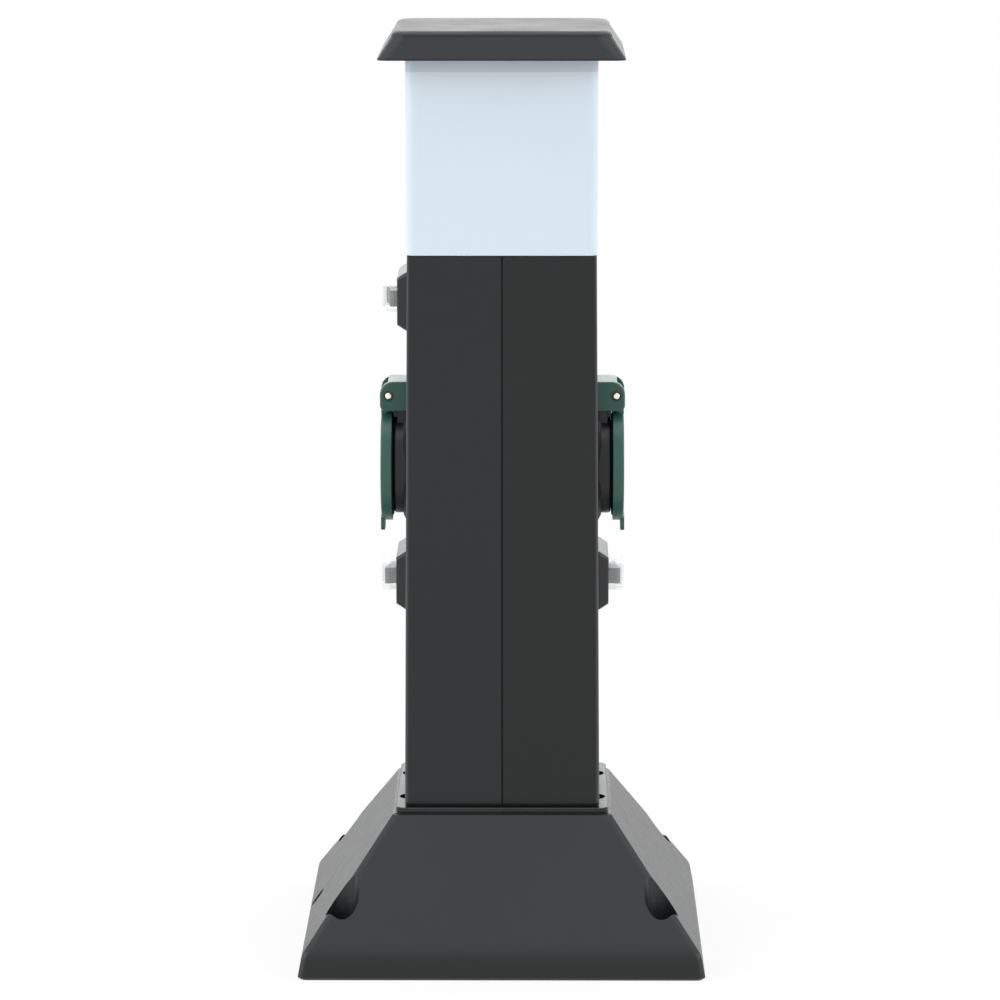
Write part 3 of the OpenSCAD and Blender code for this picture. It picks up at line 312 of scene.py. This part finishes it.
def green_plastic(sizes, name="moss_green_satin", tone=1.0):
    """Moss green lids and hinge blocks, satin, with slight flow marks."""
    color = shade(sizes.green, tone)
    f = Finish(name, color, roughness=0.36)
    f.patches(shade(color, 1.25), scale=28, detail=4, amount=0.7)
    f.patches(shade(color, 0.85), scale=300, detail=2, amount=0.4)
    if tone != 1:
        # painted shadow round the pin ends
        pin_painted_shadow(f, color)
    f.uneven(scale=70, detail=4, spread=0.03)
    f.relief(scale=1400, detail=2, height=0.03 * MM, strength=0.3)
    f.relief(scale=60, detail=2, height=0.3 * MM, strength=0.08)
    return f.material


def opal_plastic(sizes):
    """Milky lamp shade, painted darker at its top as painted shade where the cap's spigot stands behind the wall.
    """
    f = Finish("opal_shade", sizes.opal, roughness=0.36, gloss=0.8)
    f.patches(shade(sizes.opal, 1.03), scale=14, detail=3, amount=0.8)
    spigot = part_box("cap")[0][2]
    # painted shade: a darker band for the spigot behind the wall
    f.tint(f.ramp(f.axis("Z"), 0, 1, spigot - BAND_EDGE, spigot), shade(sizes.opal, 0.81), 0.9)
    f.uneven(scale=90, detail=3, spread=0.02)
    f.relief(scale=900, detail=2, height=0.02 * MM, strength=0.2)
    return f.material


def clear_plastic(sizes):
    """Thin flexible boot over a rocker: clear, with a milky cast and glossy skin."""
    f = Finish("clear_boot", (0.93, 0.94, 0.94), roughness=0.10)
    cast = f.ramp(f.noise(1200, 2), low=0.13, high=0.23, start=0.35, end=0.65)
    f.link(cast, f.shader.inputs["Alpha"])
    f.uneven(scale=220, detail=3, spread=0.03)
    f.relief(scale=180, detail=3, height=0.2 * MM, strength=0.1)
    return f.material


def plain(name, color, worn, roughness, patches, uneven, relief, gloss=1.0):
    """Satin all over: worn patches, uneven roughness and a fine relief, each given as the numbers of its method."""
    f = Finish(name, color, roughness, gloss)
    f.patches(worn, *patches)
    f.uneven(*uneven)
    f.relief(*relief)
    return f.material


def grey_plastic(sizes):
    return plain("rocker_satin", sizes.rocker, worn=shade(sizes.rocker, 1.3), roughness=0.36,
                 patches=(120, 3, 0.6), uneven=(260, 3, 0.03), relief=(1500, 2, 0.03 * MM, 0.25))


def black_plastic(sizes):
    return plain("black_moulded", (0.019, 0.019, 0.0205), worn=(0.030, 0.030, 0.032), roughness=0.36, gloss=0.8,
                 patches=(60, 3, 0.6), uneven=(140, 3, 0.03), relief=(1900, 2, 0.03 * MM, 0.3))


def black_rubber(sizes):
    return plain("black_rubber", (0.014, 0.014, 0.014), worn=(0.028, 0.028, 0.028), roughness=0.62, gloss=0.8,
                 patches=(200, 4, 0.8), uneven=(90, 4, 0.08), relief=(1100, 3, 0.05 * MM, 0.4))


def cream_plastic(sizes):
    return plain("cream_moulded", (0.70, 0.68, 0.60), worn=(0.62, 0.60, 0.52), roughness=0.45,
                 patches=(50, 4, 0.6), uneven=(120, 3, 0.06), relief=(1300, 2, 0.03 * MM, 0.3))


def frosted_glass(sizes):
    return plain("frosted_bulb", (0.90, 0.90, 0.88), worn=(0.84, 0.84, 0.83), roughness=0.36,
                 patches=(30, 3, 0.6), uneven=(160, 3, 0.02), relief=(800, 2, 0.01 * MM, 0.2))


def metal(name, color, worn, roughness, spread, scale=500):
    """Plated or turned metal with fine tool marks."""
    f = Finish(name, color, roughness)
    f.shader.inputs["Metallic"].default_value = 1
    f.patches(worn, scale, detail=4, amount=0.7)
    f.uneven(scale * 1.7, detail=3, spread=spread)
    f.relief(scale=2600, detail=2, height=0.02 * MM, strength=0.3)
    return f.material


def zinc_steel(sizes):
    return metal("zinc_plated", (0.58, 0.58, 0.56), worn=(0.42, 0.42, 0.43), roughness=0.36, spread=0.03, scale=400)


def black_steel(sizes):
    return metal("blackened_steel", (0.035, 0.036, 0.038), worn=(0.06, 0.06, 0.062), roughness=0.42, spread=0.05,
                 scale=600)


def brass(sizes):
    return metal("turned_brass", (0.98, 0.93, 0.80), worn=(0.93, 0.80, 0.55), roughness=0.19, spread=0.015)


FINISHES = {
    "charcoal_plastic": charcoal_plastic,
    "black_plastic": black_plastic,
    "grey_plastic": grey_plastic,
    "green_plastic": green_plastic,
    "opal_plastic": opal_plastic,
    "clear_plastic": clear_plastic,
    "black_rubber": black_rubber,
    "zinc_steel": zinc_steel,
    "black_steel": black_steel,
    "brass": brass,
    "cream_plastic": cream_plastic,
    "bulb_glass": frosted_glass,
}


# Sizes and colours


def color_property(name, description, default):
    return FloatVectorProperty(name=name, description=description, subtype="COLOR", size=3, min=0, max=1,
                               default=default)


def length_property(name, description, default, low, high):
    """A length in metres."""
    return FloatProperty(name=name, description=description, subtype="DISTANCE", unit="LENGTH",
                         min=low, max=high, default=default)


class PillarSizes(bpy.types.PropertyGroup):
    """Sizes and colours of what the scene adds."""

    charcoal: color_property("Charcoal", "Colour of the housings", (0.015, 0.016, 0.0168))
    green: color_property("Green", "Colour of the lids and hinge blocks", (0.024, 0.106, 0.077))
    opal: color_property("Opal", "Colour of the lamp shade", (0.66, 0.745, 0.812))
    rocker: color_property("Rocker", "Colour of the rockers", (0.096, 0.099, 0.1))
    flange: length_property("Flange", "How far the column's flange stands out", 4.2 * MM, 0, 0.02)
    shoulder_step: length_property("Shoulder step", "How far the collar stands out of its shoulder",
                                   1.6 * MM, 0, 0.01)
    shoulder_height: length_property("Shoulder height", "From the collar up to the hinge block",
                                     3.1 * MM, 0.001, 0.01)
    shoulder_width: length_property("Shoulder width", "Along the hinge pin", 19 * MM, 0.002, 0.03)
    wire: length_property("Spring wire", "Diameter of the spring wire", 0.7 * MM, 0.0003, 0.002)
    turns: IntProperty(name="Spring turns", description="Full turns of each lid spring",
                       min=2, max=12, default=5)
    floor: length_property("Floor size", "Side of the floor under the pillar", 24, 2, 60)


def sizes():
    return bpy.context.scene.pillar_sizes


@cache
def finish(slot):
    """The material of a slot, made once."""
    return FINISHES[slot](sizes())


def deselect():
    if bpy.context.object and bpy.context.object.mode != "OBJECT":
        bpy.ops.object.mode_set(mode="OBJECT")
    bpy.ops.object.select_all(action="DESELECT")


class PILLAR_OT_finishes(bpy.types.Operator):
    """Give every CAD piece the finish of its material slot"""

    bl_idname = "pillar.finishes"
    bl_label = "Finish the pieces"

    def execute(self, context):
        hinge = green_plastic(sizes(), "moss_green_hinge", tone=0.82)
        own = {"foot": streaked_plastic(sizes()), "cap": cap_plastic(sizes()),
               "column_right": charcoal_plastic(sizes(), "charcoal_right", tone=0.7),
               "hinge_block_left": hinge, "hinge_block_right": hinge}
        for part in frame["record"]["subparts"]:
            node = frame["nodes"][part["node"]]
            material = own.get(part["node"]) or finish(part["material_slot"])
            node.data.materials.clear()
            node.data.materials.append(material)
        return {"FINISHED"}


# Lid springs

WIRE_SIDES = 14
STEPS_PER_TURN = 36
# Steps of each leg, as shares of the way back into the block and of the way down
BLOCK_LEG = ((0.4, 0.2), (0.6, 0.2), (0, 0.6))
LID_LEG = ((0, 0.5), (0, 0.5))


def select_ring(mesh, y):
    """Selects the points of an open end of the wire; the coil's ends lie at y before and behind the pin."""
    ends = {vert.index for edge in mesh.edges if edge.is_boundary for vert in edge.verts}
    for vert in mesh.verts:
        vert.select = vert.index in ends and (vert.co.y - y) ** 2 < sizes().wire ** 2
    mesh.select_flush(True)


def lead_out(y, moves):
    """Draws the wire out of one end of the coil, step by step, and closes its end."""
    data = bpy.context.object.data
    bpy.ops.object.mode_set(mode="EDIT")
    bpy.ops.mesh.select_mode(type="VERT")
    bpy.ops.mesh.select_all(action="DESELECT")
    mesh = bmesh.from_edit_mesh(data)
    select_ring(mesh, y)
    bmesh.update_edit_mesh(data)
    for move in moves:
        bpy.ops.mesh.extrude_edges_move(TRANSFORM_OT_translate={"value": move})
    bpy.ops.mesh.edge_face_add()
    bpy.ops.object.mode_set(mode="OBJECT")


class PILLAR_OT_springs(bpy.types.Operator):
    """Wind the wire spring round each hinge pin, with a leg on the block and a leg in the lid"""

    bl_idname = "pillar.springs"
    bl_label = "Wind the lid springs"

    def execute(self, context):
        for name, side in SIDES.items():
            self.wind(name, side)
        return {"FINISHED"}

    def wind(self, name, side):
        group = sizes()
        low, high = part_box("lid_spring_" + name)
        coil_y = high[1] - group.wire / 2
        centre = middle(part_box("hinge_pin_" + name))
        radius = (high[2] - centre[2]) - group.wire / 2
        drop = centre[2] - low[2]
        back = (centre[0] - low[0] if side > 0 else high[0] - centre[0]) - group.wire / 2 - radius
        deselect()
        bpy.ops.mesh.primitive_circle_add(vertices=WIRE_SIDES, radius=group.wire / 2, location=centre)
        spring = bpy.context.object
        spring.name = "wound_spring_" + name
        bpy.ops.object.mode_set(mode="EDIT")
        bpy.ops.mesh.select_all(action="SELECT")
        bpy.ops.transform.translate(value=(-side * radius, -coil_y, 0))
        bpy.ops.object.mode_set(mode="OBJECT")
        screw = spring.modifiers.new("coil", "SCREW")
        screw.axis = "Y"
        # Half a turn more brings the second leg to the lid's side of the pin
        screw.angle = side * 2 * math.pi * (group.turns + 0.5)
        screw.screw_offset = 2 * coil_y
        screw.steps = screw.render_steps = STEPS_PER_TURN * group.turns
        screw.use_merge_vertices = False
        bpy.ops.object.modifier_apply(modifier=screw.name)
        for y, leg in ((-coil_y, BLOCK_LEG), (coil_y, LID_LEG)):
            lead_out(y, [(-side * back * inwards, 0, -drop * down) for inwards, down in leg])
        bpy.ops.object.mode_set(mode="EDIT")
        bpy.ops.mesh.select_all(action="SELECT")
        bpy.ops.mesh.normals_make_consistent(inside=False)
        bpy.ops.object.mode_set(mode="OBJECT")
        bpy.ops.object.transform_apply(location=True, rotation=True, scale=True)
        bpy.ops.object.shade_smooth_by_angle(angle=SMOOTH_ANGLE)
        spring.data.materials.append(finish("zinc_steel"))
        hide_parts("lid_spring_" + name)
        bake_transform(spring)


# Collar shoulders

# How far a shoulder sinks into the socket, and what it leaves to the seal and to the hinge block
SOCKET_SINK = 0.1 * MM
SEAL_GAP = 0.1 * MM
HINGE_GAP = 0.2 * MM
SHOULDER_BEVEL = 0.3 * MM
SHOULDER_BEVEL_STEPS = 3


class PILLAR_OT_shoulders(bpy.types.Operator):
    """Fill the corner over each socket collar, out to just short of the lid's seal and up to the hinge block"""

    bl_idname = "pillar.shoulders"
    bl_label = "Fill the collar shoulders"

    def execute(self, context):
        group = sizes()
        for name, side in SIDES.items():
            socket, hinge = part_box("socket_body_" + name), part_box("hinge_block_" + name)
            face = max(abs(corner[0]) for corner in socket)
            seal = min(abs(corner[0]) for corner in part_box("lid_seal_" + name))
            across = (face - group.shoulder_step - SOCKET_SINK, seal - SEAL_GAP)
            up = (hinge[0][2] - group.shoulder_height, hinge[0][2] - HINGE_GAP)
            deselect()
            bpy.ops.mesh.primitive_cube_add(size=1, location=(side * sum(across) / 2, 0, sum(up) / 2))
            shoulder = bpy.context.object
            shoulder.name = "collar_shoulder_" + name
            bpy.ops.transform.resize(value=(across[1] - across[0], group.shoulder_width, up[1] - up[0]))
            bpy.ops.object.transform_apply(location=True, rotation=True, scale=True)
            bevel = shoulder.modifiers.new("edges", "BEVEL")
            bevel.width = SHOULDER_BEVEL
            bevel.segments = SHOULDER_BEVEL_STEPS
            bpy.ops.object.modifier_apply(modifier=bevel.name)
            bpy.ops.object.shade_smooth_by_angle(angle=SMOOTH_ANGLE)
            shoulder.data.materials.append(finish("black_plastic"))
            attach(shoulder, "root")
        return {"FINISHED"}


# Stage

CAMERA_DISTANCE = 2.2122
CAMERA_HEIGHT = 0.5716
CAMERA_PITCH = 0.16325
CAMERA_YAW = 0.0078
CAMERA_ROLL = -0.0006
CAMERA_LENS = 172.23
CAMERA_SENSOR = 36
CAMERA_SHIFT = -0.0027
CAMERA_CLIP_END = 60

# Name, place, aim, width, height and power of each light
PILLAR_MIDDLE = (0, 0, 0.22)
LIGHTS = (
    ("light_left", (-1.9, -0.7, 1.1), PILLAR_MIDDLE, 1.6, 1.6, 22),
    ("light_right", (1.9, -0.7, 1.1), PILLAR_MIDDLE, 1.6, 1.6, 18),
    ("light_top", (0, 0.2, 2.4), PILLAR_MIDDLE, 1.8, 1.8, 24),
    ("light_back", (0, 2.7, 0.98), (0, 0, 0.25), 3.4, 1.1, 22),
)

# Share of plain white in the floor: low and high, and the distances from the middle between which it grows.
# The first keeps a soft shadow round the foot, the second keeps white from shining up into it.
FLOOR_WHITE = ((0.85, 1, 0.3, 0.9), (0, 1, 0.084, 0.088))
FLOOR_COLOR = (0.86, 0.86, 0.86, 1)
ROOM_COLOR = (0.97, 0.98, 1, 1)
ROOM_STRENGTH = 0.62
WHITE = (1, 1, 1, 1)


def soft_light(name, place, aim, width, height, power):
    """Area light that faces a point."""
    bpy.ops.object.light_add(type="AREA", location=place)
    light = bpy.context.object
    light.name = name
    light.data.shape = "RECTANGLE"
    light.data.size = width
    light.data.size_y = height
    light.data.energy = power
    light.rotation_euler = (Vector(aim) - Vector(place)).to_track_quat("-Z", "Y").to_euler()
    light.visible_camera = False


def seen_rays(tree):
    """1 for the rays that see the background, 0 for those that light the object."""
    path = new_node(tree, "ShaderNodeLightPath")
    total = path.outputs["Is Camera Ray"]
    for name in ("Is Glossy Ray", "Is Transmission Ray"):
        total = math_node(tree, "MAXIMUM", total, path.outputs[name])
    return total


class PILLAR_OT_stage(bpy.types.Operator):
    """Set the pale floor, the soft light and the camera at the angle of the photograph"""

    bl_idname = "pillar.stage"
    bl_label = "Set the stage"

    def execute(self, context):
        deselect()
        self.floor()
        self.world()
        for light in LIGHTS:
            soft_light(*light)
        self.camera()
        return {"FINISHED"}

    def floor(self):
        bpy.ops.mesh.primitive_plane_add(size=sizes().floor, location=(0, 0, 0))
        floor = bpy.context.object
        floor.name = "floor"
        material = bpy.data.materials.new("pale_floor")
        tree = empty_tree(material)
        matt = new_node(tree, "ShaderNodeBsdfDiffuse", Color=FLOOR_COLOR)
        white = new_node(tree, "ShaderNodeEmission", Strength=1)
        place = new_node(tree, "ShaderNodeTexCoord")
        away = new_node(tree, "ShaderNodeVectorMath")
        away.operation = "LENGTH"
        tree.links.new(place.outputs["Object"], away.inputs[0])
        share = seen_rays(tree)
        for limits in FLOOR_WHITE:
            share = math_node(tree, "MULTIPLY", ramp_node(tree, away.outputs["Value"], *limits), share)
        mix_surface(tree, share, matt, white, new_node(tree, "ShaderNodeOutputMaterial"))
        floor.data.materials.append(material)

    def world(self):
        world = bpy.data.worlds.new("studio")
        bpy.context.scene.world = world
        tree = empty_tree(world)
        light = new_node(tree, "ShaderNodeBackground", Color=ROOM_COLOR, Strength=ROOM_STRENGTH)
        seen = new_node(tree, "ShaderNodeBackground", Color=WHITE, Strength=1)
        mix_surface(tree, seen_rays(tree), light, seen, new_node(tree, "ShaderNodeOutputWorld"))

    def camera(self):
        place = (CAMERA_DISTANCE * math.sin(CAMERA_YAW), -CAMERA_DISTANCE * math.cos(CAMERA_YAW), CAMERA_HEIGHT)
        bpy.ops.object.camera_add(location=place)
        camera = bpy.context.object
        turn = (Euler((0, 0, CAMERA_YAW)).to_matrix()
                @ Euler((math.pi / 2 - CAMERA_PITCH, 0, 0)).to_matrix()
                @ Euler((0, 0, CAMERA_ROLL)).to_matrix())
        camera.rotation_euler = turn.to_euler()
        camera.data.lens = CAMERA_LENS
        camera.data.sensor_width = CAMERA_SENSOR
        camera.data.shift_x = CAMERA_SHIFT
        camera.data.clip_end = CAMERA_CLIP_END
        bpy.context.scene.camera = camera
        bpy.context.scene.view_settings.view_transform = "Standard"


class PILLAR_PT_panel(bpy.types.Panel):
    """Sizes and steps of the pillar's scene"""

    bl_idname = "PILLAR_PT_panel"
    bl_label = "Garden Socket Pillar"
    bl_space_type = "VIEW_3D"
    bl_region_type = "UI"
    bl_category = "Pillar"

    def draw(self, context):
        group = context.scene.pillar_sizes
        for name in group.bl_rna.properties.keys():
            if name not in ("rna_type", "name"):
                self.layout.prop(group, name)
        for step in STEPS:
            self.layout.operator(step.bl_idname)


STEPS = (PILLAR_OT_finishes, PILLAR_OT_springs, PILLAR_OT_shoulders, PILLAR_OT_stage)
CLASSES = (PillarSizes, *STEPS, PILLAR_PT_panel)


def register():
    for item in CLASSES:
        bpy.utils.register_class(item)
    bpy.types.Scene.pillar_sizes = PointerProperty(type=PillarSizes)


def unregister():
    del bpy.types.Scene.pillar_sizes
    for item in reversed(CLASSES):
        bpy.utils.unregister_class(item)


def main():
    register()
    bpy.ops.pillar.finishes()
    bpy.ops.pillar.springs()
    bpy.ops.pillar.shoulders()
    bpy.ops.pillar.stage()


if __name__ == "__main__":
    main()
